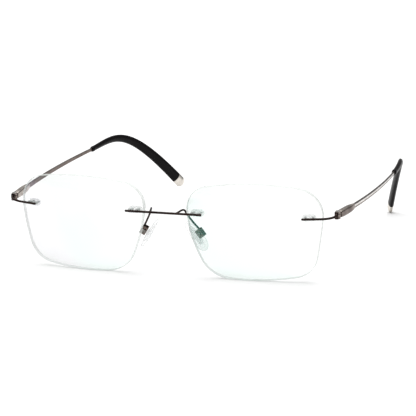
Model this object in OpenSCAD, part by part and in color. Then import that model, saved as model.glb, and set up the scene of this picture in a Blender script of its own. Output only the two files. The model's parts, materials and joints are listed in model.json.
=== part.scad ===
// Rimless eyeglasses with compression-mounted lenses, screw-on nose pads and spring hinges.
// X runs across the face (+X is the wearer's left), Y runs back along the temples, Z is up.
// The glasses stand on the bottom edges of the lenses and on the temple tips.

/* [Lens] */
// Reach from the lens centre to the outer side
lens_outer_reach = 25.1; // [24:0.1:26]
// Radius of the outer side's arc
lens_outer_r = 175; // [120:5:220]
// Reach from the lens centre to the top side
lens_top_reach = 18.3; // [17.5:0.1:19]
// Radius of the top side's arc
lens_top_r = 95; // [80:5:140]
// Reach from the lens centre to the nasal side
lens_nasal_reach = 24.5; // [24:0.1:25]
// Radius of the nasal side's arc
lens_nasal_r = 52; // [48:1:70]
// Slope of the nasal side away from upright, in degrees
lens_nasal_slope = 24.5; // [20:0.5:28]
// Reach from the lens centre to the bottom side
lens_bottom_reach = 18.8; // [18:0.1:19.5]
// Radius of the bottom side's arc
lens_bottom_r = 135; // [100:5:180]
// Thickness of the lens
lens_t = 1.8; // [1.6:0.1:2]
// Radius of the lens's front surface
lens_base_r = 83; // [80:1:90]
// Distance from the middle of the face to the lens centre
lens_x = 35.7; // [35.5:0.1:36]
// Turn of each lens towards the temple, in degrees
lens_wrap = 4.5; // [4:0.1:5]
// Lean of the lens, top forward, in degrees
lens_tilt = 3; // [2.5:0.1:3.5]

/* [Bridge] */
// Radius of the bridge and endpiece wire
wire_r = 0.45; // [0.42:0.01:0.5]
// Half of the bridge bar's length
bridge_half = 15.2; // [15:0.1:15.6]
// Height of the bridge bar above the table
bridge_z = 24.7; // [24.4:0.1:25]
// Distance between the two pins that hold a lens
pin_gap = 2.8; // [2.6:0.1:3]
// Radius of a pin
pin_r = 0.4; // [0.35:0.01:0.42]
// Wall of the clear bushing around a pin
bushing_wall = 0.28; // [0.25:0.01:0.35]

/* [Nose pads] */
// Length of a silicone pad
pad_l = 13.4; // [12.5:0.1:14]
// Width of a silicone pad
pad_w = 7; // [6.5:0.1:7.4]
// Thickness of a silicone pad
pad_t = 2; // [1.8:0.1:2.2]
// Radius of the pad arm's wire
arm_r = 0.38; // [0.35:0.01:0.42]

/* [Hinge] */
// Radius of the hinge knuckles
knuckle_r = 1.1; // [1.05:0.01:1.15]
// Length of the spring case
case_l = 13.2; // [12.8:0.1:13.6]
// Height of the spring case
case_h = 2.7; // [2.6:0.1:2.9]
// Thickness of the spring case at its front
case_t = 2.5; // [2.4:0.1:2.6]
// How far the left temple tilts down and the right one up, in degrees
temple_pitch = 1.4; // [0:0.1:1.6]
// Travel of the spring when the temple is pushed outwards
spring_travel = 1; // [0.6:0.1:1.1]

/* [Temples] */
// Thickness of the temple ribbon
ribbon_t = 0.8; // [0.7:0.05:0.9]
// Height of the ribbon at the hinge
ribbon_h_front = 2; // [1.8:0.1:2.1]
// Height of the ribbon at the tip sleeve
ribbon_h_back = 1.2; // [1:0.1:1.3]
// Outward bow of the ribbon
ribbon_bow = 2; // [1.8:0.1:2.2]
// Height of the tip at its wide end
tip_h = 4.7; // [4.3:0.1:4.8]
// Thickness of the tip at its wide end
tip_t = 2.4; // [2.2:0.1:2.6]

/* [Hidden] */
$fn = 48;

METAL = [0.24, 0.2, 0.19];
TAUPE = [0.45, 0.4, 0.38];
STEEL = [0.66, 0.65, 0.64];
CHAMPAGNE = [0.8, 0.77, 0.72];
BLACK = [0.05, 0.05, 0.06];
CLEAR = [0.9, 0.94, 0.95, 0.4];

// Slip clearance between pieces that are pressed or glued together
slip = 0.02;
// Running clearance of a pin in a turning part
running = 0.05;
// Small overlap that joins two shapes of one piece
weld = 0.2;

// Lens sides in turn: outer, top, nasal, bottom, each as [direction, reach, arc radius]
LENS_SIDES = [
    [-10.4, lens_outer_reach, lens_outer_r],
    [90.4, lens_top_reach, lens_top_r],
    [180 + lens_nasal_slope, lens_nasal_reach, lens_nasal_r],
    [272.2, lens_bottom_reach, lens_bottom_r]
];
// Corner radii after each side
LENS_CORNERS = [10.7, 9.4, 12.5, 9.6];
// Extra on a corner's radius, so that its arc crosses the sides and doesn't just graze them
graze = 0.03;
// Height of the lens centre with the bottom edge on the table
lens_z = lens_bottom_reach - 0.06;
// Front of the lens at its centre, measured back from the bridge bar
lens_y = -0.35;
LENS_POS = [lens_x, lens_y, lens_z];

// Middle of the two nasal pins, and of the two temporal pins
NASAL_POS = [12.6, 0, bridge_z];
TEMPORAL_POS = [57, 3.42, bridge_z];
temporal_turn = 18.5;
bar_past_pins = 2.5;
bar_to_bend = 4.3;
pin_l = 4.3;

HINGE_POS = [66.3, 8.6, 25.7];
screw_r = 0.4;
knuckle_h = 0.95;
ear_h = 0.8;
ear_gap = 0.08;
ear_z = knuckle_h / 2 + ear_gap;
neck_w = 1;
case_front = 1.3;
case_bore_r = 0.92;
case_bore_end = 9.9;
slider_r = 0.55;
collar_r = 0.84;
collar_y = 8.3;
collar_l = 0.6;
bush_l = 1.5;
spring_wire_r = 0.13;
spring_turns = 8;
spring_mean_r = 0.75;

SLEEVE_START = [65.4, 78.5, 29.2];
TIP_PATH = [SLEEVE_START, [63.4, 99.1, 30.5], [60.8, 103, 35.7], [47, 129.5, 3.54]];
tip_rings = 30;
sleeve_share = 0.96;
core_share = 0.975;
cap_round = 2.3;

// The ribbon's arc in plan, from the hinge to the sleeve
function flat(p) = [p[0], p[1]];
ribbon_chord = flat(SLEEVE_START) - flat(HINGE_POS);
chord_l = norm(ribbon_chord);
bow_r = (chord_l * chord_l / 4 + ribbon_bow * ribbon_bow) / (2 * ribbon_bow);
chord_out = [ribbon_chord[1], -ribbon_chord[0]] / chord_l;
BOW_CENTRE = flat(HINGE_POS) + ribbon_chord / 2 - chord_out * (bow_r - ribbon_bow);
temple_rise = atan((SLEEVE_START[2] - HINGE_POS[2]) / chord_l);
// Direction of the case: the arc's mean direction over the case's own length
temple_turn = atan(ribbon_chord[0] / ribbon_chord[1])
    + asin(chord_l / 2 / bow_r) - asin(case_l / 2 / bow_r);

// Pad frame: x away from the nose, y back, z up the pad
PAD_POS = [9.56, 8.96, 14.52];
PAD_TURN = [14, -32.5, -14.4];
screw_x = 2.3;
lug_t = 0.95;
box_gap = 1.15;
box_wall = 0.45;
box_h = 3.4;
box_x0 = 1.3;
box_x1 = 3.65;
box_web = 0.4;
pad_screw_r = 0.4;

// The whole model is moved so that its origin is under the middle of its box
front_y = -0.72;
back_y = 130.69;
mid_y = (front_y + back_y) / 2;

function unit(v) = v / norm(v);
function lerp(a, b, t) = a + (b - a) * t;
function bezier(p, t) = pow(1 - t, 3) * p[0] + 3 * pow(1 - t, 2) * t * p[1]
    + 3 * (1 - t) * t * t * p[2] + t * t * t * p[3];
function bezier_path(p, n, t0, t1) = [for (i = [0 : n]) bezier(p, lerp(t0, t1, i / n))];
function same(value, path) = [for (p = path) value];

// Sections across a path: half_w sideways from the path, half_h in the plane of the reference
function ring(path, i, half_w, half_h, sides, reference) = let (
    ahead = path[min(i + 1, len(path) - 1)],
    behind = path[max(i - 1, 0)],
    along = unit(ahead - behind),
    side = unit(cross(along, reference)),
    up = cross(side, along)
) [for (k = [0 : sides - 1]) let (a = 360 * k / sides)
    path[i] + side * half_w * cos(a) + up * half_h * sin(a)];

// Closed skin along a path
module sweep(path, half_w, half_h, sides = 12, reference = [0, 0, 1]) {
    n = len(path);
    points = [for (i = [0 : n - 1]) each ring(path, i, half_w[i], half_h[i], sides, reference)];
    walls = [for (i = [0 : n - 2], k = [0 : sides - 1]) let (
        a = i * sides + k,
        b = i * sides + (k + 1) % sides
    ) each [[a, b, b + sides], [a, b + sides, a + sides]]];
    front = [for (k = [1 : sides - 2]) [0, k + 1, k]];
    last = (n - 1) * sides;
    back = [for (k = [1 : sides - 2]) [last, last + k, last + k + 1]];
    polyhedron(points, concat(front, walls, back));
}

module rod(r, l) {
    rotate([-90, 0, 0]) cylinder(r = r, h = l);
}

module on_left() {
    translate([0, -mid_y, 0]) children();
}

module on_right() {
    translate([0, -mid_y, 0]) mirror([1, 0, 0]) children();
}

module at_lens() {
    translate(LENS_POS) rotate([lens_tilt, 0, lens_wrap]) children();
}

module at_nasal() {
    translate(NASAL_POS) children();
}

module at_temporal() {
    translate(TEMPORAL_POS) rotate([0, 0, temporal_turn]) children();
}

module at_pad() {
    translate(PAD_POS) rotate(PAD_TURN) children();
}

module at_hinge() {
    translate(HINGE_POS) children();
}

// Turns the hinge and all that hangs on it up at the back
module pitched(angle) {
    translate(HINGE_POS) rotate([angle, 0, 0]) translate(-HINGE_POS) children();
}

module on_left_hinge() {
    on_left() pitched(-temple_pitch) children();
}

module on_right_hinge() {
    on_right() pitched(temple_pitch) children();
}

module at_case() {
    translate(HINGE_POS) rotate([temple_rise, 0, -temple_turn]) children();
}

// Both pins, bores or barrels of one lens mount
module each_pin() {
    for (s = [-1, 1]) translate([s * pin_gap / 2, 0, 0]) children();
}

// ---- Lenses ----

function side_centre(s) = [cos(s[0]), sin(s[0])] * (s[1] - s[2]);

// Centre of the corner arc that touches both side arcs from inside
function corner_centre(a, b, r) = let (
    ca = side_centre(a),
    cb = side_centre(b),
    ra = a[2] - r,
    rb = b[2] - r,
    d = norm(cb - ca),
    x = (ra * ra - rb * rb + d * d) / (2 * d),
    h = sqrt(ra * ra - x * x),
    e = (cb - ca) / d
) ca + e * x + [-e[1], e[0]] * h;

module side_disc(s) {
    translate(side_centre(s)) circle(r = s[2], $fn = 360);
}

// What a rounded corner takes off between two sides
module corner_waste(a, b, r) {
    c = corner_centre(a, b, r);
    to_a = unit(c - side_centre(a));
    to_b = unit(c - side_centre(b));
    difference() {
        polygon([c, c + to_a * 2 * r, c + unit(to_a + to_b) * 4 * r, c + to_b * 2 * r]);
        translate(c) circle(r = r + graze, $fn = 120);
    }
}

module lens_outline() {
    difference() {
        intersection() {
            side_disc(LENS_SIDES[0]);
            side_disc(LENS_SIDES[1]);
            side_disc(LENS_SIDES[2]);
            side_disc(LENS_SIDES[3]);
        }
        for (i = [0 : 3]) corner_waste(LENS_SIDES[i], LENS_SIDES[(i + 1) % 4], LENS_CORNERS[i]);
    }
}

// Everything behind a surface that lies the given depth below the lens's front
module behind_lens_front(depth) {
    translate([0, lens_base_r, 0]) sphere(r = lens_base_r - depth, $fn = 256);
}

module lens() {
    color(CLEAR) difference() {
        at_lens() difference() {
            intersection() {
                translate([0, 10, 0]) rotate([90, 0, 0]) linear_extrude(12) lens_outline();
                behind_lens_front(0);
            }
            behind_lens_front(lens_t);
        }
        at_nasal() each_pin() rod(pin_r + bushing_wall + 2 * slip, 6);
        at_temporal() each_pin() rod(pin_r + bushing_wall + 2 * slip, 6);
    }
}

// Clear double bushing: two barrels through the lens on an oval plate behind it
module bushing_blank() {
    each_pin() rod(pin_r + bushing_wall + slip, 6);
}

module bushing_plate() {
    plate_r = 1.3;
    rotate([-90, 0, 0]) linear_extrude(3.9) union() {
        square([pin_gap, 2 * plate_r], center = true);
        for (s = [-1, 1]) translate([s * pin_gap / 2, 0]) circle(r = plate_r);
    }
}

module nasal_bushing() {
    color(CLEAR) difference() {
        union() {
            intersection() {
                at_nasal() bushing_blank();
                at_lens() behind_lens_front(slip);
                translate(NASAL_POS + [0, 1.95, 0]) cube([8, 3.9, 8], center = true);
            }
            intersection() {
                at_nasal() bushing_plate();
                at_lens() behind_lens_front(lens_t + slip);
            }
        }
        at_nasal() each_pin() rod(pin_r + slip, 6);
    }
}

module temporal_bushing() {
    color(CLEAR) difference() {
        union() {
            intersection() {
                at_temporal() bushing_blank();
                at_lens() behind_lens_front(slip);
                at_temporal() translate([0, 1.55, 0]) cube([8, 3.1, 8], center = true);
            }
            intersection() {
                at_temporal() translate([0, -0.8, 0]) bushing_plate();
                at_lens() behind_lens_front(lens_t + slip);
            }
        }
        at_temporal() each_pin() rod(pin_r + slip, 6);
    }
}

// ---- Bridge, pad arms and endpieces ----

module bridge_bar() {
    color(METAL) {
        translate([-bridge_half, 0, bridge_z]) rotate([0, 90, 0])
            cylinder(r = wire_r, h = 2 * bridge_half);
        for (s = [-1, 1]) {
            translate([s * bridge_half, 0, bridge_z]) sphere(r = wire_r);
            translate([s * NASAL_POS[0], 0, bridge_z]) each_pin() rod(pin_r, pin_l);
        }
    }
}

// Wire from the back of the bridge, over a loop and down to the pad box
module pad_arm() {
    loop = [[5.4, wire_r - 0.15, bridge_z], [5.7, 2, 24.9], [6.6, 4.9, 26.2], [7.1, 5.2, 24.4]];
    drop = [loop[3], [7.4, 5.4, 23.3], [9.8, 6.9, 19.6], [11.35, 8, 17.4]];
    path = concat(bezier_path(loop, 12, 0, 1), bezier_path(drop, 8, 0.1, 1));
    color(METAL) sweep(path, same(arm_r, path), same(arm_r, path), 10, [1, 0, 0]);
}

// Straight bar over the lens with two pins, then a bend back to the hinge ears
module endpiece(pitch) {
    turn = [cos(temporal_turn), sin(temporal_turn), 0];
    bend_start = TEMPORAL_POS + turn * (bar_to_bend - weld);
    bend_end = HINGE_POS + [0, -1.4, 0];
    bend = [bend_start, bend_start + turn * 2.8, bend_end + [-0.4, -2.2, -0.3], bend_end];
    path = bezier_path(bend, 12, 0, 1);
    color(METAL) {
        at_temporal() {
            translate([-bar_past_pins, 0, 0]) rotate([0, 90, 0])
                cylinder(r = wire_r, h = bar_past_pins + bar_to_bend);
            translate([-bar_past_pins, 0, 0]) sphere(r = wire_r);
            each_pin() rod(pin_r, pin_l - 0.5);
        }
        sweep(path, same(wire_r + 0.01, path), same(wire_r + 0.01, path), 24);
        pitched(pitch) at_hinge() difference() {
            union() {
                for (z = [-ear_z - ear_h, ear_z]) translate([0, 0, z]) {
                    cylinder(r = knuckle_r, h = ear_h);
                    translate([-0.75, -1.7, 0]) cube([1.5, 1.2, ear_h]);
                }
                translate([-0.75, -1.7, -ear_z - weld])
                    cube([1.5, 0.45, 2 * (ear_z + weld)]);
            }
            translate([0, 0, -3]) cylinder(r = screw_r + slip, h = 6);
        }
    }
}

// ---- Nose pads ----

module pad_box() {
    outer = box_gap + 2 * box_wall;
    color(METAL) at_pad() difference() {
        translate([box_x0, -outer / 2, -box_h / 2]) cube([box_x1 - box_x0, outer, box_h]);
        translate([box_x0 - 1, -box_gap / 2, -box_h / 2 - 1])
            cube([box_x1 - box_x0 - box_web + 1, box_gap, box_h + 2]);
        translate([screw_x, -3, 0]) rod(pad_screw_r + slip, 6);
    }
}

module pad_screw() {
    outer = box_gap + 2 * box_wall;
    head_r = 0.75;
    head_h = 0.4;
    color(STEEL) at_pad() translate([screw_x, -outer / 2 - slip, 0]) difference() {
        union() {
            rod(pad_screw_r, outer);
            translate([0, -head_h, 0]) rod(head_r, head_h);
        }
        translate([-0.1, -head_h - 0.1, -1]) cube([0.2, 0.3, 2]);
    }
}

insert_plate_t = 0.6;
module insert_plate(grow = 0) {
    translate([insert_plate_t / 2 + grow, 0, 0]) rotate([0, -90, 0])
        linear_extrude(insert_plate_t + 2 * grow) union() {
            square([5, 3 + 2 * grow], center = true);
            for (s = [-1, 1]) translate([s * 2.5, 0]) circle(r = 1.5 + grow);
        }
}

module insert_lug(grow = 0) {
    translate([0, -lug_t / 2 - grow, 0]) {
        translate([screw_x, 0, 0]) rod(0.85 + grow, lug_t + 2 * grow);
        translate([0, 0, -0.85 - grow]) cube([screw_x, lug_t + 2 * grow, 1.7 + 2 * grow]);
    }
}

module pad_insert() {
    color(CLEAR) at_pad() difference() {
        union() {
            insert_plate();
            insert_lug();
        }
        translate([screw_x, -3, 0]) rod(pad_screw_r + running, 6);
    }
}

// Teardrop cushion, wide below and narrow above
module nose_pad() {
    low_r = pad_w / 2;
    high_r = low_r * 0.72;
    color(CLEAR) at_pad() difference() {
        hull() {
            translate([0, 0, low_r - pad_l / 2]) scale([pad_t / 2 / low_r, 1, 1])
                sphere(r = low_r, $fn = 28);
            translate([0, 0, pad_l / 2 - high_r]) scale([pad_t / 2.4 / high_r, 1, 1])
                sphere(r = high_r, $fn = 28);
        }
        insert_plate(slip);
        insert_lug(slip);
    }
}

// ---- Spring hinge ----

module hinge_screw() {
    head_r = 0.8;
    head_h = 0.35;
    top = ear_z + ear_h + slip;
    color(STEEL) at_hinge() difference() {
        union() {
            translate([0, 0, -top]) cylinder(r = screw_r, h = 2 * top);
            translate([0, 0, top]) cylinder(r = head_r, h = head_h);
        }
        translate([-0.1, -1, top + 0.15]) cube([0.2, 2, 1]);
    }
}

// Middle knuckle on a sprung shaft with an end collar
module hinge_slider() {
    color(STEEL) difference() {
        union() {
            at_hinge() translate([0, 0, -knuckle_h / 2]) cylinder(r = knuckle_r, h = knuckle_h);
            intersection() {
                at_case() translate([-neck_w / 2, 0, -knuckle_h / 2])
                    cube([neck_w, case_front + 0.4, knuckle_h]);
                at_hinge() cube([6, 6, knuckle_h], center = true);
            }
            at_case() translate([0, 0.9, 0]) rod(neck_w / 2 - 0.05, 1);
            at_case() translate([0, case_front + 0.1, 0]) rod(slider_r, collar_y - case_front);
            at_case() translate([0, collar_y, 0]) rod(collar_r, collar_l);
        }
        at_hinge() translate([0, 0, -3]) cylinder(r = screw_r + running, h = 6);
    }
}

// Leaf-shaped case: straight top, round belly, narrowing to the ribbon
module spring_case() {
    end_h = ribbon_h_front + 0.1;
    belly = case_h - end_h;
    belly_r = (case_l * case_l + belly * belly) / (2 * belly);
    end_t = ribbon_t + 0.5;
    color(TAUPE) difference() {
        at_case() intersection() {
            // side view: flat top, belly arc that rises to the rear
            translate([-5, 0, 0]) rotate([90, 0, 90]) linear_extrude(10) intersection() {
                translate([case_front, -case_h / 2]) square([case_l, case_h]);
                translate([case_front + 2.6, belly_r - case_h / 2]) circle(r = belly_r, $fn = 360);
            }
            // top view: thick over the spring, narrowing behind it
            translate([0, 0, -5]) linear_extrude(10) polygon([
                [-case_t / 2, case_front], [case_t / 2, case_front],
                [case_t / 2, case_bore_end + 0.6], [end_t / 2, case_front + case_l],
                [-end_t / 2, case_front + case_l], [-case_t / 2, case_bore_end + 0.6]
            ]);
        }
        at_case() rod(case_bore_r, case_bore_end);
        ribbon_body(slip);
    }
}

module spring_bush() {
    color(STEEL) at_case() translate([0, case_front, 0]) difference() {
        rod(case_bore_r - slip, bush_l);
        translate([0, -1, 0]) rod(slider_r + running, bush_l + 2);
    }
}

// Coil between the bush and the collar
module hinge_spring() {
    y0 = case_front + bush_l + spring_wire_r + slip;
    y1 = collar_y - spring_travel - spring_wire_r - 2 * slip;
    steps = spring_turns * 12;
    path = [for (i = [0 : steps]) let (a = 360 * spring_turns * i / steps)
        [spring_mean_r * cos(a), lerp(y0, y1, i / steps), spring_mean_r * sin(a)]];
    color(STEEL) at_case()
        sweep(path, same(spring_wire_r, path), same(spring_wire_r, path), 6, [0, 1, 0]);
}

// ---- Temples ----

// Side view of the ribbon between two stations, with a share of its full height
module ribbon_side(y0, y1, share, grow = 0) {
    function mid_z(y) = HINGE_POS[2] + (y - HINGE_POS[1]) * tan(temple_rise);
    function half_h(y) = grow + share / 2 * lerp(ribbon_h_front, ribbon_h_back,
        (y - HINGE_POS[1]) / (SLEEVE_START[1] - HINGE_POS[1]));
    translate([60, 0, 0]) rotate([90, 0, 90]) linear_extrude(15) polygon([
        [y0, mid_z(y0) - half_h(y0)], [y1, mid_z(y1) - half_h(y1)],
        [y1, mid_z(y1) + half_h(y1)], [y0, mid_z(y0) + half_h(y0)]
    ]);
}

// Top view of the ribbon: a band along the bow
module ribbon_band(inner, outer) {
    translate([BOW_CENTRE[0], BOW_CENTRE[1], 20]) linear_extrude(20) difference() {
        circle(r = bow_r + outer, $fn = 1440);
        circle(r = bow_r + inner, $fn = 1440);
    }
}

ribbon_y0 = HINGE_POS[1] + case_front + case_l - 2.5;
ribbon_y1 = SLEEVE_START[1] + 1.5;
module ribbon_body(grow = 0) {
    intersection() {
        ribbon_side(ribbon_y0 - grow, ribbon_y1, 1, grow);
        ribbon_band(-ribbon_t / 2 - grow, ribbon_t / 2 + grow);
    }
}

function tip_width(t) = lerp(1.9, tip_t, t) / 2;
function tip_height(t) = lerp(2.1, tip_h, pow(t, 1.15)) / 2;

// Core wire inside the sleeve
module core(grow = 0, share = core_share) {
    path = bezier_path(TIP_PATH, tip_rings, 0, share);
    sweep(path, same(0.45 + grow, path), same(0.45 + grow, path), 8);
}

module temple() {
    groove_depth = 0.15;
    color(CHAMPAGNE) {
        difference() {
            ribbon_body();
            intersection() {
                ribbon_side(ribbon_y0 + 3, ribbon_y1 - 3, 0.45);
                ribbon_band(ribbon_t / 2 - groove_depth, 2);
            }
        }
        core();
    }
}

module tip_sleeve() {
    path = bezier_path(TIP_PATH, tip_rings, 0, sleeve_share);
    shares = [for (i = [0 : tip_rings]) sleeve_share * i / tip_rings];
    color(BLACK) difference() {
        sweep(path, [for (t = shares) tip_width(t)], [for (t = shares) tip_height(t)], 20);
        core(slip);
        ribbon_body(slip);
    }
}

// Metal end cap with a rounded end
module tip_cap() {
    steps = 16;
    span = 1 - sleeve_share;
    path = bezier_path(TIP_PATH, steps, sleeve_share + 0.0002, 1);
    cap_l = norm(path[steps] - path[0]);
    // How far each section is into the rounded end, from 0 to 1
    into = [for (i = [0 : steps]) max(0, (i / steps * cap_l - cap_l + cap_round) / cap_round)];
    taper = [for (d = into) sqrt(1 - pow(min(d, 0.995), 2))];
    share = [for (i = [0 : steps]) sleeve_share + span * i / steps];
    color(CHAMPAGNE) difference() {
        sweep(path, [for (i = [0 : steps]) tip_width(share[i]) * taper[i]],
            [for (i = [0 : steps]) tip_height(share[i]) * taper[i]], 20);
        core(slip, core_share + 0.001);
    }
}

on_left() lens();  // lens_left
on_right() lens();  // lens_right
on_left() bridge_bar();
on_left() nasal_bushing();  // nasal_bushing_left
on_right() nasal_bushing();  // nasal_bushing_right
on_left() temporal_bushing();  // temporal_bushing_left
on_right() temporal_bushing();  // temporal_bushing_right
on_left() pad_arm();  // pad_arm_left
on_right() pad_arm();  // pad_arm_right
on_left() pad_box();  // pad_box_left
on_right() pad_box();  // pad_box_right
on_left() pad_screw();  // pad_screw_left
on_right() pad_screw();  // pad_screw_right
on_left() pad_insert();  // pad_insert_left
on_right() pad_insert();  // pad_insert_right
on_left() nose_pad();  // nose_pad_left
on_right() nose_pad();  // nose_pad_right
on_left() endpiece(-temple_pitch);  // endpiece_left
on_right() endpiece(temple_pitch);  // endpiece_right
on_left_hinge() hinge_screw();  // hinge_screw_left
on_right_hinge() hinge_screw();  // hinge_screw_right
on_left_hinge() hinge_slider();  // hinge_slider_left
on_right_hinge() hinge_slider();  // hinge_slider_right
on_left_hinge() spring_case();  // spring_case_left
on_right_hinge() spring_case();  // spring_case_right
on_left_hinge() spring_bush();  // spring_bush_left
on_right_hinge() spring_bush();  // spring_bush_right
on_left_hinge() hinge_spring();  // hinge_spring_left
on_right_hinge() hinge_spring();  // hinge_spring_right
on_left_hinge() temple();  // temple_left
on_right_hinge() temple();  // temple_right
on_left_hinge() tip_sleeve();  // tip_sleeve_left
on_right_hinge() tip_sleeve();  // tip_sleeve_right
on_left_hinge() tip_cap();  // tip_cap_left
on_right_hinge() tip_cap();  // tip_cap_right
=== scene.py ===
"""Looks of a pair of rimless eyeglasses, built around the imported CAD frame.

Sizes in the design section are millimetres in the glasses' own frame: x to the wearer's left,
y back from the bridge bar, z up from the table. Meshes are built for the left half in that frame,
and place() turns them into metres in the CAD frame, mirrored for the right half.
"""

import json
import math

import bmesh
import bpy
from mathutils import Euler, Matrix, Vector

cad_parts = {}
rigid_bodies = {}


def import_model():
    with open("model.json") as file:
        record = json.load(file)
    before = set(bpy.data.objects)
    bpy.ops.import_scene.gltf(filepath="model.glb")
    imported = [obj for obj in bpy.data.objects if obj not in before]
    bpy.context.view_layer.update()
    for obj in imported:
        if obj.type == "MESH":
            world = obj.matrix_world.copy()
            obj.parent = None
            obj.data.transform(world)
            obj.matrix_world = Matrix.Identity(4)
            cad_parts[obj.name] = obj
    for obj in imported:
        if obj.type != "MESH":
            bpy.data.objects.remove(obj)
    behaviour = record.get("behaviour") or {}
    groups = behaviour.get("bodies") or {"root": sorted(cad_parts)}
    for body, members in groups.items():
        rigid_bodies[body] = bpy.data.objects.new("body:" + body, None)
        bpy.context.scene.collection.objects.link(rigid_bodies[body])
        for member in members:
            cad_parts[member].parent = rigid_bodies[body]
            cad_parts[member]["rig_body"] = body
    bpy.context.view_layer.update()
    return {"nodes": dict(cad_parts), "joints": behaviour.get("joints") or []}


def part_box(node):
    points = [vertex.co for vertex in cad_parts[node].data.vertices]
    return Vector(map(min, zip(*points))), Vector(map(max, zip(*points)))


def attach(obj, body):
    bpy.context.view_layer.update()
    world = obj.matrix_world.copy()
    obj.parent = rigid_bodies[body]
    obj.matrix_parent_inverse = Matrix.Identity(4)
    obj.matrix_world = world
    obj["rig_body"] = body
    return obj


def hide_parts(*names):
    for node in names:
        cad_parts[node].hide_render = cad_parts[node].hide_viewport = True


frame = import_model()

# ---- Design values, in millimetres and degrees ----

MM = 0.001
SIDES = {"left": 1, "right": -1}

# Bridge bar and the bars of the endpieces, with their pins and bushings
WIRE_R = 0.45
BAR_HALF = 15.2
BAR_Z = 24.7
PIN_GAP = 2.8
PIN_R = 0.4
PIN_L = 4.3
BUSHING_R = 0.72
NASAL_POS = Vector((12.6, 0, BAR_Z))
TEMPORAL_POS = Vector((57, 3.42, BAR_Z))
TEMPORAL_TURN = 18.5
BAR_PAST_PINS = 2.5
BAR_TO_BEND = 4.3

# Lens sides in turn (outer, top, nasal, bottom), each as direction, reach and arc radius
LENS_SIDES = ((-10.4, 25.1, 175), (90.4, 18.3, 95), (204.5, 24.5, 52), (272.2, 18.8, 135))
# Corner radius after each side
LENS_CORNERS = (10.7, 9.4, 12.5, 9.6)
LENS_POS = Vector((35.7, -0.35, 18.74))
LENS_WRAP = 4.5
LENS_TILT = 3
LENS_R = 83
LENS_T = 1.8
LENS_BEVEL = 0.22
# The finer mesh of the front would stand a hair before the CAD's without this
LENS_SET_BACK = 0.008

# Nose pads, and the pad arms' wire as two joined cubic curves
ARM_R = 0.38
ARM_LOOP = ((5.4, 0.3, BAR_Z), (5.7, 2, 24.9), (6.6, 4.9, 26.2), (7.1, 5.2, 24.4))
ARM_DROP = (ARM_LOOP[-1], (7.4, 5.4, 23.3), (9.8, 6.9, 19.6), (11.35, 8, 17.4))
PAD_POS = Vector((9.56, 8.96, 14.52))
PAD_TURN = (14, -32.5, -14.4)
PAD_L = 13.4
PAD_LOW_R = 3.5
PAD_HIGH_R = 2.52
PAD_T = 2

# Hinge: two knuckles above and below the middle
EAR_R = 1.1
EAR_H = 0.8
EAR_Z = 0.555
# Degrees by which the left temple tilts down at the back, and the right one up
TEMPLE_PITCH = 1.4

# Temples from the hinge back: case, ribbon, and the tip along one cubic curve
RIBBON_T = 0.8
RIBBON_H = (2, 1.2)
RIBBON_BOW = 2
CASE_FRONT = 1.3
CASE_L = 13.2
CASE_H = 2.7
CASE_T = 2.5
CASE_BORE_R = 0.92
CASE_BORE_END = 9.9
SLEEVE_START = Vector((65.4, 78.5, 29.2))
TIP_PATH = (SLEEVE_START, Vector((63.4, 99.1, 30.5)), Vector((60.8, 103, 35.7)),
            Vector((47, 129.5, 3.54)))
TIP_WIDTH = (1.9, 2.4)
TIP_HEIGHT = (2.1, 4.7)
# Shares of the tip's curve where the sleeve, the core wire and the cap end
SLEEVE_SHARE = 0.96
CORE_SHARE = 0.975
CAP_END = 0.9997
SEAM_GAP = 0.0002
CORE_R = 0.45
CAP_ROUND = 2.3

# Where the design's y = 0, the axis of the bridge bar, lies in the CAD frame
BAR_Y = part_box("bridge_bar")[0].y / MM + WIRE_R


def hinge_position():
    """Middle of the left hinge, in design millimetres, from the fold joint."""
    for joint in frame["joints"]:
        if joint["name"] == "fold_left":
            x, y, z = joint["pos_m"]
            return Vector((x / MM, y / MM - BAR_Y, z / MM))
    raise ValueError("the frame has no fold_left joint")


HINGE_POS = hinge_position()


def pitched(side):
    """Tilts a shape of one half with its hinge."""
    return at(HINGE_POS, (-side * TEMPLE_PITCH, 0, 0)) @ Matrix.Translation(-HINGE_POS)


# ---- Shapes ----

class Shape:
    """Vertices, faces and a material number for each face."""

    def __init__(self):
        self.points = []
        self.faces = []
        self.kinds = []

    def add_ring(self, points):
        first = len(self.points)
        self.points += [Vector(p) for p in points]
        return range(first, first + len(points))

    def add_face(self, corners, kind=0):
        self.faces.append(tuple(corners))
        self.kinds.append(kind)

    def bridge(self, a, b, kinds=None):
        """Quads between two rings of the same length. kinds gives each quad's material."""
        n = len(a)
        for k in range(n):
            kind = kinds[k] if kinds else 0
            self.add_face((a[k], a[(k + 1) % n], b[(k + 1) % n], b[k]), kind)

    def close(self, ring, centre, flip=False, kind=0):
        """A fan from a ring to a point."""
        tip = self.add_ring([centre])[0]
        n = len(ring)
        for k in range(n):
            corners = (ring[k], ring[(k + 1) % n], tip)
            self.add_face(corners[::-1] if flip else corners, kind)

    def move(self, matrix):
        self.points = [matrix @ p for p in self.points]
        return self

    def paint(self, kind):
        """Gives every face one material number."""
        self.kinds = [kind] * len(self.faces)
        return self


def lerp(a, b, t):
    return a + (b - a) * t


def bezier(p, t):
    s = 1 - t
    return s ** 3 * p[0] + 3 * s * s * t * p[1] + 3 * s * t * t * p[2] + t ** 3 * p[3]


def bezier_path(p, steps, start=0.0, end=1.0):
    return [bezier(p, lerp(start, end, i / steps)) for i in range(steps + 1)]


def turned(angles):
    """Rotation by angles in degrees about x, then y, then z."""
    return Euler([math.radians(a) for a in angles], "XYZ").to_matrix().to_4x4()


def at(position, angles=(0, 0, 0)):
    return Matrix.Translation(position) @ turned(angles)


def directions(path):
    """Unit tangent at each point of a path."""
    last = len(path) - 1
    return [(path[min(i + 1, last)] - path[max(i - 1, 0)]).normalized() for i in range(last + 1)]


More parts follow.
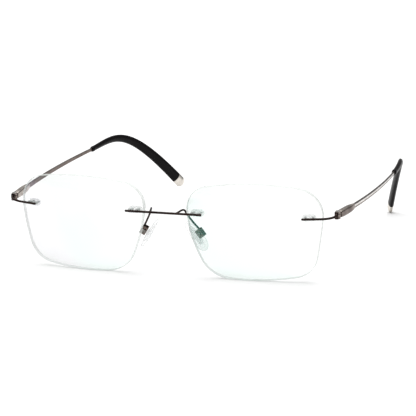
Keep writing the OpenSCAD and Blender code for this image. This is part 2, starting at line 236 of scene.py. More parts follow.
def sweep(path, sections, up=Vector((0, 0, 1)), kinds=None):
    """Skin through sections, each a list of (sideways, upwards) offsets, closed at both ends."""
    shape = Shape()
    rings = []
    for point, along, section in zip(path, directions(path), sections):
        side = along.cross(up).normalized()
        above = side.cross(along)
        rings.append(shape.add_ring([point + side * u + above * v for u, v in section]))
    for i in range(len(rings) - 1):
        shape.bridge(rings[i], rings[i + 1], kinds[i] if kinds else None)
    shape.close(rings[0], path[0], flip=True)
    shape.close(rings[-1], path[-1])
    return shape


def oval(half_w, half_h, sides, power=2.0):
    """A superellipse as (sideways, upwards) offsets."""
    points = []
    for k in range(sides):
        c = math.cos(2 * math.pi * k / sides)
        s = math.sin(2 * math.pi * k / sides)
        points.append((math.copysign(abs(c) ** (2 / power), c) * half_w,
                       math.copysign(abs(s) ** (2 / power), s) * half_h))
    return points


def round_ended(path, radius, cap_steps=5):
    """Path and radii of a wire whose ends are half balls past the given path."""
    ahead = directions(path)
    turns = [math.pi / 2 * i / cap_steps for i in range(cap_steps)]
    front = [(path[0] - ahead[0] * radius * math.cos(a), radius * math.sin(a)) for a in turns]
    back = [(path[-1] + ahead[-1] * radius * math.cos(a), radius * math.sin(a)) for a in turns]
    pairs = front + [(p, radius) for p in path] + back[::-1]
    smallest = radius * 0.02
    return [p for p, r in pairs], [max(r, smallest) for p, r in pairs]


def wire(path, radius, sides=24, up=Vector((0, 0, 1))):
    points, radii = round_ended(path, radius)
    return sweep(points, [oval(r, r, sides) for r in radii], up)


def straight(start, end, steps):
    return [lerp(Vector(start), Vector(end), i / steps) for i in range(steps + 1)]


def pins(position, turn, length):
    """Both pins of one lens mount."""
    place_pins = at(position, (0, 0, turn))
    return [
        wire(straight((s * PIN_GAP / 2, 0, 0), (s * PIN_GAP / 2, length - PIN_R, 0), 3),
             PIN_R, 16, Vector((1, 0, 0))).move(place_pins).paint(1)
        for s in (-1, 1)
    ]


# ---- From shapes to pieces ----

def place(point, side):
    """A design point of the left half as metres in the CAD frame, mirrored for the right."""
    return Vector((side * point.x, point.y + BAR_Y, point.z)) * MM


def mesh_object(name, shape, side, materials):
    """A piece from a shape. A face's material number counts through the materials."""
    faces = [f[::-1] for f in shape.faces] if side < 0 else shape.faces
    mesh = bpy.data.meshes.new(name)
    for material in materials:
        mesh.materials.append(MATERIALS[material])
    mesh.from_pydata([place(p, side) for p in shape.points], [], faces)
    mesh.polygons.foreach_set("material_index", shape.kinds)
    piece = bpy.data.objects.new(name, mesh)
    bpy.context.scene.collection.objects.link(piece)
    tidy_mesh(mesh)
    return piece


def tidy_mesh(mesh):
    """Merges coincident vertices and turns every face outwards."""
    bm = bmesh.new()
    bm.from_mesh(mesh)
    bmesh.ops.remove_doubles(bm, verts=bm.verts, dist=0.00001 * MM)
    bmesh.ops.recalc_face_normals(bm, faces=bm.faces)
    bm.to_mesh(mesh)
    bm.free()


def smooth(piece, sharp_angle=35):
    piece.data.shade_smooth()
    piece.data.set_sharp_from_angle(angle=math.radians(sharp_angle))
    return piece


def boolean(piece, cutter, operation):
    """Joins or cuts with another object, which is then removed."""
    modifier = piece.modifiers.new("boolean", "BOOLEAN")
    modifier.operation = operation
    modifier.solver = "EXACT"
    modifier.object = cutter
    bpy.context.view_layer.update()
    result = bpy.data.meshes.new_from_object(
        piece.evaluated_get(bpy.context.evaluated_depsgraph_get()))
    piece.modifiers.clear()
    piece.data = result
    bpy.data.objects.remove(cutter)


def joined(name, shapes, side, materials):
    """One solid from several overlapping shapes."""
    piece = mesh_object(name, shapes[0], side, materials)
    for shape in shapes[1:]:
        boolean(piece, mesh_object(name + "_part", shape, side, materials), "UNION")
    return piece


def stand_in(piece, node):
    """The piece takes a CAD node's place and body."""
    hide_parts(node)
    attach(piece, frame["nodes"][node]["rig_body"])


def dress(node, material):
    """Gives a CAD node that stays a finished material."""
    piece = frame["nodes"][node]
    piece.data.materials.clear()
    piece.data.materials.append(MATERIALS[material])
    piece.data.shade_smooth()
    piece.data.set_sharp_from_angle(angle=math.radians(35))


def softened(node, width, material):
    """Copy of a CAD node with rounded edges, for small hardware that catches the light."""
    flat, edge = math.radians(1.5), math.radians(38)
    mesh = frame["nodes"][node].data.copy()
    bm = bmesh.new()
    bm.from_mesh(mesh)
    bmesh.ops.remove_doubles(bm, verts=bm.verts, dist=0.0005 * MM)
    bmesh.ops.dissolve_limit(bm, angle_limit=flat, verts=bm.verts, edges=bm.edges)
    edges = [e for e in bm.edges if len(e.link_faces) == 2 and e.calc_face_angle(0) > edge]
    bmesh.ops.bevel(bm, geom=edges, offset=width * MM, offset_type="OFFSET", segments=2,
                    profile=0.5, affect="EDGES", clamp_overlap=True)
    bm.to_mesh(mesh)
    bm.free()
    mesh.materials.clear()
    mesh.materials.append(MATERIALS[material])
    mesh.polygons.foreach_set("material_index", [0] * len(mesh.polygons))
    piece = bpy.data.objects.new(node + "_fine", mesh)
    bpy.context.scene.collection.objects.link(piece)
    stand_in(smooth(piece, 40), node)


# ---- Materials ----

def new_material(name):
    material = bpy.data.materials.new(name)
    material.use_nodes = True
    tree = material.node_tree
    return material, tree, tree.nodes["Principled BSDF"]


def coordinates(tree, scale):
    """The piece's own coordinates, stretched by a scale for each axis, per metre."""
    source = tree.nodes.new("ShaderNodeTexCoord")
    mapping = tree.nodes.new("ShaderNodeMapping")
    mapping.inputs["Scale"].default_value = scale
    tree.links.new(source.outputs["Object"], mapping.inputs["Vector"])
    return mapping.outputs["Vector"]


def noise(tree, scale, detail):
    node = tree.nodes.new("ShaderNodeTexNoise")
    node.inputs["Scale"].default_value = 1
    node.inputs["Detail"].default_value = detail
    node.inputs["Roughness"].default_value = 0.55
    tree.links.new(coordinates(tree, scale), node.inputs["Vector"])
    return node.outputs["Fac"]


def ramp(tree, value, stops):
    """Colours or greys along a value, as (position, colour or number) pairs."""
    node = tree.nodes.new("ShaderNodeValToRGB")
    while len(node.color_ramp.elements) < len(stops):
        node.color_ramp.elements.new(0.5)
    for element, (position, colour) in zip(node.color_ramp.elements, stops):
        element.position = position
        if isinstance(colour, (int, float)):
            colour = (colour,) * 3
        element.color = (*colour, 1)
    tree.links.new(value, node.inputs["Fac"])
    return node.outputs["Color"]


def bump(tree, height, strength, distance):
    node = tree.nodes.new("ShaderNodeBump")
    node.inputs["Strength"].default_value = strength
    node.inputs["Distance"].default_value = distance * MM
    tree.links.new(height, node.inputs["Height"])
    return node.outputs["Normal"]


def brushed_metal(name, dark, light, roughness, grain, relief):
    """Metal with a fine grain: colours between dark and light, and roughness between two values."""
    material, tree, shader = new_material(name)
    shader.inputs["Metallic"].default_value = 1
    fine = noise(tree, grain, 4)
    cloud = noise(tree, (260, 260, 260), 2)
    tree.links.new(ramp(tree, cloud, ((0.3, dark), (0.7, light))), shader.inputs["Base Color"])
    tree.links.new(ramp(tree, fine, ((0.3, roughness[0]), (0.7, roughness[1]))),
                   shader.inputs["Roughness"])
    tree.links.new(bump(tree, fine, relief, 0.02), shader.inputs["Normal"])
    return material


def see_through(name, tint, clear, rim, roughness, grain, gloss):
    """Clear material that shows by its outlines: clear is its strength face on, rim edge on."""
    material, tree, shader = new_material(name)
    shader.inputs["Roughness"].default_value = roughness
    tone = noise(tree, (grain,) * 3, 2)
    tree.links.new(ramp(tree, tone, ((0.3, gloss[0]), (0.7, gloss[1]))),
                   shader.inputs["Base Color"])
    through = tree.nodes.new("ShaderNodeBsdfTransparent")
    through.inputs["Color"].default_value = (*tint, 1)
    edge = tree.nodes.new("ShaderNodeLayerWeight")
    edge.inputs["Blend"].default_value = 0.35
    share = ramp(tree, edge.outputs["Facing"], ((0.1, clear), (0.95, rim)))
    mix = tree.nodes.new("ShaderNodeMixShader")
    tree.links.new(share, mix.inputs["Fac"])
    tree.links.new(through.outputs["BSDF"], mix.inputs[1])
    tree.links.new(shader.outputs["BSDF"], mix.inputs[2])
    tree.links.new(mix.outputs["Shader"], tree.nodes["Material Output"].inputs["Surface"])
    return material


def coated_lens(name):
    """Clear lens with a coating: hardly seen face on, teal and then violet as it turns away."""
    material, tree, shader = new_material(name)
    shader.inputs["Metallic"].default_value = 1
    fine = noise(tree, (60, 60, 60), 2)
    tree.links.new(ramp(tree, fine, ((0.3, 0.02), (0.7, 0.05))), shader.inputs["Roughness"])
    turn = tree.nodes.new("ShaderNodeLayerWeight")
    turn.inputs["Blend"].default_value = 0.5
    facing = turn.outputs["Facing"]
    tree.links.new(ramp(tree, facing, ((0.06, (0.6, 0.58, 0.66)), (0.13, (0.2, 0.56, 0.46)),
                                       (0.22, (0.14, 0.5, 0.42)), (0.28, (0.42, 0.38, 0.5)),
                                       (0.5, (0.6, 0.6, 0.62)))),
                   shader.inputs["Base Color"])
    # How much of the coating shows against what lies behind the lens
    share = ramp(tree, facing, ((0.08, 0.015), (0.13, 0.085), (0.3, 0.105), (0.6, 0.2), (1, 0.5)))
    through = tree.nodes.new("ShaderNodeBsdfTransparent")
    through.inputs["Color"].default_value = (0.985, 0.99, 0.985, 1)
    mix = tree.nodes.new("ShaderNodeMixShader")
    tree.links.new(share, mix.inputs["Fac"])
    tree.links.new(through.outputs["BSDF"], mix.inputs[1])
    tree.links.new(shader.outputs["BSDF"], mix.inputs[2])
    tree.links.new(mix.outputs["Shader"], tree.nodes["Material Output"].inputs["Surface"])
    return material


def black_plastic(name):
    material, tree, shader = new_material(name)
    fine = noise(tree, (2200, 2200, 2200), 3)
    cloud = noise(tree, (150, 150, 150), 2)
    tree.links.new(ramp(tree, cloud, ((0.3, (0.004, 0.0032, 0.0036)),
                                      (0.7, (0.007, 0.0056, 0.006)))),
                   shader.inputs["Base Color"])
    tree.links.new(ramp(tree, fine, ((0.3, 0.24), (0.7, 0.34))), shader.inputs["Roughness"])
    shader.inputs["Specular IOR Level"].default_value = 0.08
    tree.links.new(bump(tree, fine, 0.1, 0.02), shader.inputs["Normal"])
    return material


def make_materials():
    even = (3000, 3000, 3000)
    lengthwise = (2600, 160, 2600)
    return {
        # Dark gunmetal of the bars and wires; on the spring case's belly and bore it is painted
        # shade
        "dark": brushed_metal("dark_gunmetal", (0.018, 0.012, 0.011), (0.036, 0.025, 0.022),
                              (0.24, 0.36), even, 0.15),
        "case": brushed_metal("brushed_taupe", (0.13, 0.1, 0.09), (0.3, 0.25, 0.225),
                              (0.28, 0.46), (1500, 500, 2600), 0.5),
        # Lighter copy of the case's taupe for its top and inner side: painted light
        "case_painted_lit": brushed_metal("taupe_painted_lit", (0.3, 0.26, 0.235), (0.58, 0.53, 0.48),
                                    (0.26, 0.42), (1500, 500, 2600), 0.5),
        "land": brushed_metal("ribbon_brown", (0.1, 0.075, 0.065), (0.17, 0.135, 0.12),
                              (0.2, 0.32), lengthwise, 0.2),
        # Darker copy of the ribbon metal on the outer face above the groove: painted shade
        "upper_land_painted_shade": brushed_metal("ribbon_painted_shade", (0.03, 0.022, 0.02), (0.06, 0.045, 0.04),
                                    (0.2, 0.32), lengthwise, 0.2),
        # Lighter copy of the ribbon metal on the top face: painted light from above
        "top": brushed_metal("ribbon_painted_lit_top", (0.24, 0.21, 0.19), (0.38, 0.34, 0.31),
                             (0.2, 0.34), lengthwise, 0.2),
        # Brighter copy of the ribbon metal in the groove: a painted reflection
        "groove": brushed_metal("ribbon_groove_painted_reflection", (0.6, 0.57, 0.54), (0.78, 0.75, 0.72),
                                (0.2, 0.34), lengthwise, 0.2),
        "steel": brushed_metal("machined_steel", (0.42, 0.41, 0.4), (0.58, 0.57, 0.55),
                               (0.2, 0.34), even, 0.15),
        # Darker steel for the pad screws
        "screw": brushed_metal("darker_steel", (0.16, 0.14, 0.13), (0.3, 0.28, 0.26),
                               (0.24, 0.38), even, 0.15),
        "pin": brushed_metal("bright_steel", (0.74, 0.74, 0.73), (0.86, 0.86, 0.85),
                             (0.25, 0.4), even, 0.1),
        "cap": brushed_metal("champagne", (0.6, 0.56, 0.51), (0.76, 0.72, 0.66),
                             (0.2, 0.36), (900, 2400, 900), 0.4),
        "tip": black_plastic("tip_black"),
        "lens": coated_lens("coated_lens"),
        "edge": see_through("lens_edge", (0.97, 0.98, 0.975), 0.5, 0.75, 0.4, 400,
                            ((0.66, 0.7, 0.67), (0.78, 0.81, 0.79))),
        "plastic": see_through("clear_plastic", (0.99, 0.99, 0.99), 0.22, 0.5, 0.15, 300,
                               ((0.84, 0.86, 0.86), (0.92, 0.93, 0.93))),
        "silicone": see_through("clear_silicone", (0.99, 0.99, 0.99), 0.04, 0.62, 0.35, 300,
                                ((0.6, 0.62, 0.62), (0.74, 0.76, 0.76))),
    }


MATERIALS = make_materials()


# ---- Lenses ----

def polar(angle):
    return Vector((math.cos(math.radians(angle)), math.sin(math.radians(angle))))


def corner_centre(side_a, side_b, centre_a, centre_b, radius):
    """Centre of the corner arc that touches both side arcs from inside."""
    reach_a, reach_b = side_a[2] - radius, side_b[2] - radius
    apart = (centre_b - centre_a).length
    along = (reach_a ** 2 - reach_b ** 2 + apart ** 2) / (2 * apart)
    e = (centre_b - centre_a) / apart
    return centre_a + e * along + Vector((-e.y, e.x)) * math.sqrt(reach_a ** 2 - along ** 2)


def arc(centre, radius, start, end, step=0.7):
    """Points anticlockwise from one direction to another, without the last one."""
    first = math.atan2(start.y, start.x)
    turn = (math.atan2(end.y, end.x) - first) % (2 * math.pi)
    count = max(4, math.ceil(radius * turn / step))
    angles = [first + turn * k / count for k in range(count)]
    return [centre + Vector((math.cos(a), math.sin(a))) * radius for a in angles]


def lens_outline():
    """Points round the lens as (outward, up)."""
    middles = [polar(d) * (reach - radius) for d, reach, radius in LENS_SIDES]
    corners = [
        corner_centre(LENS_SIDES[i], LENS_SIDES[(i + 1) % 4], middles[i], middles[(i + 1) % 4],
                      LENS_CORNERS[i])
        for i in range(4)
    ]
    outline = []
    for i in range(4):
        radius = LENS_SIDES[i][2]
        outline += arc(middles[i], radius, corners[i - 1] - middles[i], corners[i] - middles[i])
        outline += arc(corners[i], LENS_CORNERS[i], corners[i] - middles[i],
                       corners[i] - middles[(i + 1) % 4])
    return outline


def inset(outline, depth):
    """The outline moved inwards."""
    n = len(outline)
    moved = []
    for k in range(n):
        along = (outline[(k + 1) % n] - outline[k - 1]).normalized()
        moved.append(outline[k] + Vector((-along.y, along.x)) * depth)
    return moved


def on_shell(point, depth, push=0.0):
    """A point of the outline on the lens surface that lies a depth below its front."""
    y = LENS_R - math.sqrt((LENS_R - depth) ** 2 - point.length_squared) + push
    return Vector((point.x, y, point.y))


def lens_shape():
    """Curved shell with a bevelled rim. Rim faces have material 1."""
    outline = lens_outline()
    inner = inset(outline, LENS_BEVEL)
    shape = Shape()
    shares = [0.08 + 0.92 * i / 14 for i in range(15)]
    front = [shape.add_ring([on_shell(p * s, 0) for p in inner]) for s in shares]
    rim = [shape.add_ring([on_shell(p, 0, LENS_BEVEL) for p in outline]),
           shape.add_ring([on_shell(p, LENS_T, -LENS_BEVEL) for p in outline])]
    back = [shape.add_ring([on_shell(p * s, LENS_T) for p in inner]) for s in reversed(shares)]
    rings = front + rim + back
    for i in range(len(rings) - 1):
        at_rim = len(front) - 1 <= i <= len(front) + 1
        shape.bridge(rings[i], rings[i + 1], [1 if at_rim else 0] * len(outline))
    shape.close(front[0], on_shell(Vector((0, 0)), 0), flip=True)
    shape.close(back[-1], on_shell(Vector((0, 0)), LENS_T))
    set_back = Vector((0, LENS_SET_BACK, 0))
    return shape.move(at(LENS_POS + set_back, (LENS_TILT, 0, LENS_WRAP)))


def drill(position, turn):
    """Both drilled holes of one lens mount, as cutters."""
    turned_pins = at(position, (0, 0, turn))
    return [
        sweep([Vector((s * PIN_GAP / 2, y, 0)) for y in (-3, 9)],
              [oval(BUSHING_R, BUSHING_R, 32)] * 2, Vector((1, 0, 0))).move(turned_pins)
        for s in (-1, 1)
    ]


def make_lens(which, side):
    node = "lens_" + which
    slots = ("lens", "edge")
    piece = mesh_object(node + "_fine", lens_shape(), side, slots)
    for cutter in drill(NASAL_POS, 0) + drill(TEMPORAL_POS, TEMPORAL_TURN):
        boolean(piece, mesh_object("drill", cutter.paint(1), side, slots), "DIFFERENCE")
    stand_in(smooth(piece, 30), node)


# ---- Bridge, pad arms and endpieces ----

def make_bridge_bar():
    bar = wire(straight((-BAR_HALF, 0, BAR_Z), (BAR_HALF, 0, BAR_Z), 24), WIRE_R)
    left = NASAL_POS
    right = Vector((-NASAL_POS.x, NASAL_POS.y, NASAL_POS.z))
    parts = [bar] + pins(left, 0, PIN_L) + pins(right, 0, PIN_L)
    stand_in(smooth(joined("bridge_bar_fine", parts, 1, ("dark", "pin"))), "bridge_bar")


def make_pad_arm(which, side):
    """Wire from the back of the bridge, over a loop and down to the pad box."""
    loop = [Vector(p) for p in ARM_LOOP]
    drop = [Vector(p) for p in ARM_DROP]
    path = bezier_path(loop, 24) + bezier_path(drop, 20, 0.05, 1)
    # Fuller where the wire is brazed to the bar
    braze = [1 + 0.3 * math.exp(-((i / 4) ** 2)) for i in range(len(path))]
    sections = [oval(ARM_R * b, ARM_R * b, 20) for b in braze]
    shape = sweep(path, sections, Vector((1, 0, 0)))
    stand_in(smooth(mesh_object(f"pad_arm_{which}_fine", shape, side, ["dark"])),
             "pad_arm_" + which)


def block(low, high, radius):
    """Box with rounded vertical edges and chamfered rims, as a shape."""
    cx, cy = (low[0] + high[0]) / 2, (low[1] + high[1]) / 2
    w, d = (high[0] - low[0]) / 2, (high[1] - low[1]) / 2
    rings = []
    shape = Shape()
    for z, shrink in ((low[2], radius), (low[2] + radius, 0), (high[2] - radius, 0),
                      (high[2], radius)):
        ring = []
        for sx, sy, start in ((1, 1, 0), (-1, 1, 90), (-1, -1, 180), (1, -1, 270)):
            for k in range(5):
                turn = polar(start + 22.5 * k)
                ring.append((cx + sx * (w - radius) + turn.x * (radius - shrink * 0.6),
                             cy + sy * (d - radius) + turn.y * (radius - shrink * 0.6), z))
        rings.append(shape.add_ring(ring))
    for a, b in zip(rings, rings[1:]):
        shape.bridge(a, b)
    shape.close(rings[0], (cx, cy, low[2]), flip=True)
    shape.close(rings[-1], (cx, cy, high[2]))
    return shape


def ear(z):
    """Round hinge knuckle from height z up, with softened rims."""
    soft = 0.12
    heights = (z, z + soft, z + EAR_H - soft, z + EAR_H)
    radii = (EAR_R - soft, EAR_R, EAR_R, EAR_R - soft)
    return sweep([Vector((0, 0, h)) for h in heights], [oval(r, r, 40) for r in radii],
                 Vector((0, 1, 0)))


ENDPIECE_SLOTS = ("dark", "pin", "case")


def make_endpiece(which, side):
    """Straight bar over the lens, two pins, a bend back to the hinge and two knuckles."""
    bar = [at(TEMPORAL_POS, (0, 0, TEMPORAL_TURN)) @ p
           for p in straight((-BAR_PAST_PINS, 0, 0), (BAR_TO_BEND - 0.2, 0, 0), 10)]
    outward = (bar[-1] - bar[0]).normalized()
    bend_end = HINGE_POS + Vector((0, -1.4, 0))
    bend = [bar[-1], bar[-1] + outward * 2.8, bend_end + Vector((-0.4, -2.2, -0.3)), bend_end]
    parts = [wire(bar + bezier_path(bend, 22)[1:], WIRE_R, 24)]
    parts += pins(TEMPORAL_POS, TEMPORAL_TURN, PIN_L - 0.5)
    at_hinge = pitched(side) @ at(HINGE_POS)
    for z in (-EAR_Z - EAR_H, EAR_Z):
        parts.append(ear(z).paint(ENDPIECE_SLOTS.index("case")).move(at_hinge))
        parts.append(block((-0.72, -1.45, z + 0.02), (0.72, -0.5, z + EAR_H - 0.03), 0.12)
                     .move(at_hinge))
    # The wire's end, flared to carry both knuckles: y, half width, half height, squareness
    flare = ((-2.1, 0.4, 0.4, 2), (-1.85, 0.54, 0.56, 2.4), (-1.6, 0.68, 0.86, 3),
             (-1.4, 0.73, 1.14, 4), (-1.24, 0.74, 1.3, 5))
    parts.append(sweep([Vector((0, y, 0)) for y, w, h, power in flare],
                       [oval(w, h, 32, power) for y, w, h, power in flare]).move(at_hinge))
    stand_in(smooth(joined(f"endpiece_{which}_fine", parts, side, ENDPIECE_SLOTS)),
             "endpiece_" + which)


# ---- Nose pads ----

def pad_outline(count=72):
    """Teardrop round the pad as (sideways, up): a wide lower and a narrow upper end."""
    low_z = PAD_LOW_R - PAD_L / 2
    high_z = PAD_L / 2 - PAD_HIGH_R
    lean = math.degrees(math.asin((PAD_LOW_R - PAD_HIGH_R) / (high_z - low_z)))
    upper = [polar(a) * PAD_HIGH_R + Vector((0, high_z))
             for a in [lerp(lean, 180 - lean, k / 24) for k in range(25)]]
    lower = [polar(a) * PAD_LOW_R + Vector((0, low_z))
             for a in [lerp(180 - lean, 360 + lean, k / 32) for k in range(33)]]
    return upper + lower


def make_nose_pad(which, side):
    """Soft cushion with a fuller rim than a plain lens shape."""
    outline = pad_outline()
    shape = Shape()
    steps = 12
    turns = [math.pi * (i + 0.5) / (2 * steps) for i in range(2 * steps)]
    rings = []
    for turn in turns:
        share = math.sin(turn) ** 0.8
        depth = math.copysign(abs(math.cos(turn)) ** 0.9, math.cos(turn))
        rings.append(shape.add_ring([
            (-depth * PAD_T / 2 * lerp(1, 0.85, (p.y + PAD_L / 2) / PAD_L),
             p.x * share, p.y * share) for p in outline]))
    for a, b in zip(rings, rings[1:]):
        shape.bridge(a, b)
    shape.close(rings[0], (-PAD_T / 2 * 0.93, 0, 0), flip=True)
    shape.close(rings[-1], (PAD_T / 2 * 0.93, 0, 0))
    shape.move(at(PAD_POS, PAD_TURN))
    stand_in(smooth(mesh_object(f"nose_pad_{which}_fine", shape, side, ["silicone"])),
             "nose_pad_" + which)


# ---- Temples ----

def ribbon_arc():
    """Chord of the ribbon's arc in plan, its radius, and its rise along the chord."""
    chord = (SLEEVE_START - HINGE_POS).xy
    radius = (chord.length_squared / 4 + RIBBON_BOW ** 2) / (2 * RIBBON_BOW)
    return chord, radius, (SLEEVE_START.z - HINGE_POS.z) / chord.length


def ribbon_path(start_y, end_y, steps):
    """Points along the ribbon's arc, rising towards the tip."""
    chord, radius, slope = ribbon_arc()
    outward = Vector((chord.y, -chord.x)).normalized()
    centre = HINGE_POS.xy + chord / 2 - outward * (radius - RIBBON_BOW)
    path = []
    for i in range(steps + 1):
        y = lerp(start_y, end_y, i / steps)
        x = centre.x + math.sqrt(radius ** 2 - (y - centre.y) ** 2)
        path.append(Vector((x, y, HINGE_POS.z + (y - HINGE_POS.y) * slope)))
    return path


def ribbon_section(height, groove):
    """Flat bar with eased edges and a groove of the given depth along its outer face."""
    t, h, ease = RIBBON_T / 2, height / 2, 0.12
    g = h * 0.42
    wall = 0.06
    return [
        (-t, -h + ease), (-t + ease, -h), (t - ease, -h), (t, -h + ease),
        (t, -g - wall), (t - groove, -g), (t - groove, g), (t, g + wall),
        (t, h - ease), (t - ease, h), (-t + ease, h), (-t, h - ease),
    ]


# Material of each side of the ribbon's section, in turn from the bottom inner edge: the ribbon's
# own brown, a bright copy in the groove as painted reflection, a dark copy above the groove as
# painted shade and a light copy on the top face as painted light
RIBBON_SLOTS = ("land", "groove", "upper_land_painted_shade", "top")
RIBBON_KINDS = (0, 0, 0, 0, 1, 1, 1, 2, 2, 3, 3, 0)
PLAIN_KINDS = (0, 0, 0, 0, 0, 0, 0, 0, 3, 3, 3, 0)


def make_temple(which, side):
    """Grooved ribbon from the spring case, with the core wire that runs on inside the tip."""
    start, end = HINGE_POS.y + CASE_FRONT + CASE_L - 2.5, SLEEVE_START.y + 1.5
    steps = 70
    path = ribbon_path(start, end, steps)
    sections = []
    for point in path:
        share = (point.y - HINGE_POS.y) / (SLEEVE_START.y - HINGE_POS.y)
        inside = min(point.y - start - 3, end - 3 - point.y)
        groove = 0.15 * max(0.0, min(1.0, inside / 1.5))
        sections.append(ribbon_section(lerp(*RIBBON_H, share), groove))
    kinds = [RIBBON_KINDS if start + 3 < point.y < end - 4 else PLAIN_KINDS for point in path]
    ribbon = sweep(path, sections, kinds=kinds).move(pitched(side))
    core = wire(bezier_path(TIP_PATH, 40, 0, CORE_SHARE), CORE_R, 12).move(pitched(side))
    stand_in(smooth(joined(f"temple_{which}_fine", [ribbon, core], side, RIBBON_SLOTS), 28),
             "temple_" + which)


# Slots of the spring case: its own taupe, a lighter copy as painted light on the top and inner
# side, and the dark metal as painted shade on the belly and in the bore
CASE_SLOTS = ("case", "case_painted_lit", "dark")


def case_kind(k, sides):
    """Material of one strip of the case: a lighter copy on the top and inner side as painted light,
    the dark metal on the belly as painted shade.
    """
    angle = 360 * (k + 0.5) / sides
    if 45 < angle < 225:
        return 1
    return 2 if 225 < angle < 315 else 0


def make_spring_case(which, side):
    """Leaf-shaped case: flat top, full belly rising to the rear, open bore at the front."""
    sides, steps, nose, waist = 48, 44, 1.4, 5.2
    half_h, half_t = CASE_H / 2, CASE_T / 2
    end_h, end_t = RIBBON_H[0] / 2 + 0.05, RIBBON_T / 2 + 0.25
    path, sections = [], []
    for i in range(steps + 1):
        y = CASE_L * i / steps
        opening = 1 - 0.1 * max(0.0, 1 - y / nose) ** 2
        fullness = 1 - 0.14 * max(0.0, 1 - y / waist) ** 2
        rise = max(0.0, (y - waist) / (CASE_L - waist))
        thin = max(0.0, (y - CASE_BORE_END + 0.9) / (CASE_L - CASE_BORE_END + 0.9))
        top = lerp(half_h, end_h, rise ** 2) * opening
        belly = lerp(half_h * fullness, end_h, rise ** 1.7) * opening
        half = (top + belly) / 2
        path.append(Vector((0, CASE_FRONT + y, (top - belly) / 2)))
        sections.append(oval(lerp(half_t, end_t, thin ** 1.4) * opening, half, sides, 4.5))
    kinds = [[case_kind(k, sides) for k in range(sides)]] * len(path)
    shape = sweep(path, sections, kinds=kinds)
    # The bore is lined with the dark metal: painted shade inside the recess
    bore = sweep([Vector((0, y, 0)) for y in (CASE_FRONT - 2, CASE_BORE_END)],
                 [oval(CASE_BORE_R, CASE_BORE_R, 40)] * 2).paint(2)
    chord, radius, slope = ribbon_arc()
    turn = (math.atan2(chord.x, chord.y) + math.asin(chord.length / 2 / radius)
            - math.asin(CASE_L / 2 / radius))
    at_case = pitched(side) @ at(HINGE_POS, (math.degrees(math.atan(slope)), 0,
                                             -math.degrees(turn)))
    name = f"spring_case_{which}_fine"
    piece = mesh_object(name, shape.move(at_case), side, CASE_SLOTS)
    boolean(piece, mesh_object("bore", bore.move(at_case), side, CASE_SLOTS), "DIFFERENCE")
    stand_in(smooth(piece, 40), "spring_case_" + which)


def tip_half_width(share):
    return lerp(*TIP_WIDTH, share) / 2


def tip_half_height(share):
    return lerp(*TIP_HEIGHT, share ** 1.15) / 2


def make_tip_sleeve(which, side):
    """Tapered sleeve with a rounded, hollow mouth round the ribbon."""
    steps = 90
    shares = [SLEEVE_SHARE * i / steps for i in range(steps + 1)]
    path = bezier_path(TIP_PATH, steps, 0, SLEEVE_SHARE)
    # Size of the first rings, which give the mouth a rolled lip
    lip = {0: 0.92, 1: 1.08, 2: 1.1, 3: 1.02}
    sections = []
    for i, share in enumerate(shares):
        scale = lip.get(i, 1.0)
        sections.append(oval(tip_half_width(share) * scale, tip_half_height(share) * scale, 48))
    shape = sweep(path, sections).move(pitched(side))
    piece = mesh_object(f"tip_sleeve_{which}_fine", shape, side, ["tip"])
    mouth = wire(bezier_path(TIP_PATH, 4, 0, 0.03), 0.66, 20).move(pitched(side))
    boolean(piece, mesh_object("mouth", mouth, side, ["tip"]), "DIFFERENCE")
    stand_in(smooth(piece, 50), "tip_sleeve_" + which)


def make_tip_cap(which, side):
    """Metal end with a fine seam against the sleeve and a rounded end."""
    steps = 28
    path = bezier_path(TIP_PATH, steps, SLEEVE_SHARE + SEAM_GAP, CAP_END)
    length = (path[-1] - path[0]).length
    sections = []
    for i in range(steps + 1):
        share = lerp(SLEEVE_SHARE, 1, i / steps)
        into = max(0.0, (i / steps * length - length + CAP_ROUND) / CAP_ROUND)
        taper = math.sqrt(1 - min(into, 0.995) ** 2)
        seam = 0.93 if i == 0 else 1
        sections.append(oval(tip_half_width(share) * taper * seam,
                             tip_half_height(share) * taper * seam, 48))
    shape = sweep(path, sections).move(pitched(side))
    stand_in(smooth(mesh_object(f"tip_cap_{which}_fine", shape, side, ["cap"]), 50),
             "tip_cap_" + which)


# ---- The whole pair ----

def make_hardware(which):
    """Small machined and moulded pieces: the CAD's own shapes, five of them with rounded edges and
    four with only a finished material.
    """
    softened("hinge_slider_" + which, 0.05, "case")
    softened("hinge_screw_" + which, 0.05, "steel")
    softened("pad_box_" + which, 0.2, "land")
    softened("pad_screw_" + which, 0.05, "screw")
    softened("pad_insert_" + which, 0.08, "plastic")
    dress("spring_bush_" + which, "steel")
    dress("hinge_spring_" + which, "steel")
    dress("nasal_bushing_" + which, "plastic")
    dress("temporal_bushing_" + which, "plastic")


make_bridge_bar()
for which, side in SIDES.items():
    make_lens(which, side)
    make_pad_arm(which, side)
    make_endpiece(which, side)
    make_nose_pad(which, side)
    make_temple(which, side)
    make_tip_sleeve(which, side)
    make_tip_cap(which, side)
    make_spring_case(which, side)
    make_hardware(which)


# ---- Floor, light and camera ----

def make_floor(radius, drop):
    """Round pale floor, a drop below the glasses."""
    bm = bmesh.new()
    bmesh.ops.create_circle(bm, cap_ends=True, segments=96, radius=radius)
    mesh = bpy.data.meshes.new("floor")
    bm.to_mesh(mesh)
    bm.free()
    floor = bpy.data.objects.new("floor", mesh)
    floor.location.z = -drop
    bpy.context.scene.collection.objects.link(floor)
    material, tree, shader = new_material("pale_floor")
    shader.inputs["Base Color"].default_value = (0.93, 0.93, 0.93, 1)
    shader.inputs["Roughness"].default_value = 0.9
    shader.inputs["Specular IOR Level"].default_value = 0.1
    mesh.materials.append(material)


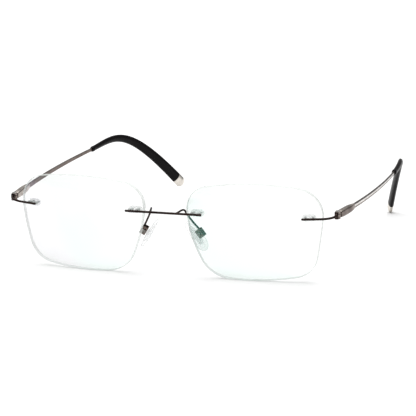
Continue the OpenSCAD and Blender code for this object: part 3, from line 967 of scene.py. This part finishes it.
def make_world(seen, lighting):
    """White all round behind the floor, and a softer grey for everything the room lights."""
    world = bpy.data.worlds.new("studio")
    world.use_nodes = True
    tree = world.node_tree
    white = tree.nodes["Background"]
    white.inputs["Strength"].default_value = seen
    grey = tree.nodes.new("ShaderNodeBackground")
    for background in (white, grey):
        background.inputs["Color"].default_value = (1, 1, 1, 1)
    grey.inputs["Strength"].default_value = lighting
    path = tree.nodes.new("ShaderNodeLightPath")
    mix = tree.nodes.new("ShaderNodeMixShader")
    tree.links.new(path.outputs["Is Camera Ray"], mix.inputs["Fac"])
    tree.links.new(grey.outputs["Background"], mix.inputs[1])
    tree.links.new(white.outputs["Background"], mix.inputs[2])
    tree.links.new(mix.outputs["Shader"], tree.nodes["World Output"].inputs["Surface"])
    bpy.context.scene.world = world


def make_light(name, position, size, power):
    """Rectangular lamp aimed at the middle of the glasses."""
    target = Vector((0, 0, 0.015))
    light = bpy.data.lights.new(name, "AREA")
    light.shape = "RECTANGLE"
    light.size, light.size_y = size
    light.energy = power
    lamp = bpy.data.objects.new(name, light)
    lamp.location = position
    lamp.rotation_euler = (target - Vector(position)).to_track_quat("-Z", "Y").to_euler()
    bpy.context.scene.collection.objects.link(lamp)


# Camera round the glasses: azimuth 0 looks along +Y, roll turns the picture
CAMERA_AZIMUTH = 22.525
CAMERA_ELEVATION = 12.411
CAMERA_ROLL = -1.76
CAMERA_DISTANCE = 0.9
CAMERA_LENS = 209.55
CAMERA_TARGET = (18.394, 0, 27.626)


def make_camera():
    a, e, r = (math.radians(v) for v in (CAMERA_AZIMUTH, CAMERA_ELEVATION, CAMERA_ROLL))
    back = Vector((math.sin(a) * math.cos(e), -math.cos(a) * math.cos(e), math.sin(e)))
    right = Vector((math.cos(a), math.sin(a), 0))
    up = back.cross(right)
    rolled_right = right * math.cos(r) + up * math.sin(r)
    rolled_up = up * math.cos(r) - right * math.sin(r)
    data = bpy.data.cameras.new("camera")
    data.sensor_width = 36
    data.lens = CAMERA_LENS
    data.clip_start = 0.01
    data.clip_end = 50
    camera = bpy.data.objects.new("camera", data)
    axes = Matrix((rolled_right, rolled_up, back)).transposed().to_4x4()
    target = place(Vector(CAMERA_TARGET), 1)
    camera.matrix_world = Matrix.Translation(target + back * CAMERA_DISTANCE) @ axes
    bpy.context.scene.collection.objects.link(camera)
    bpy.context.scene.camera = camera


make_floor(radius=1.1, drop=0.00002)
make_world(seen=1, lighting=0.3)
make_light("overhead", position=(-0.3, 0.2, 2.2), size=(3, 3), power=80)
make_camera()
bpy.context.scene.view_settings.view_transform = "Standard"
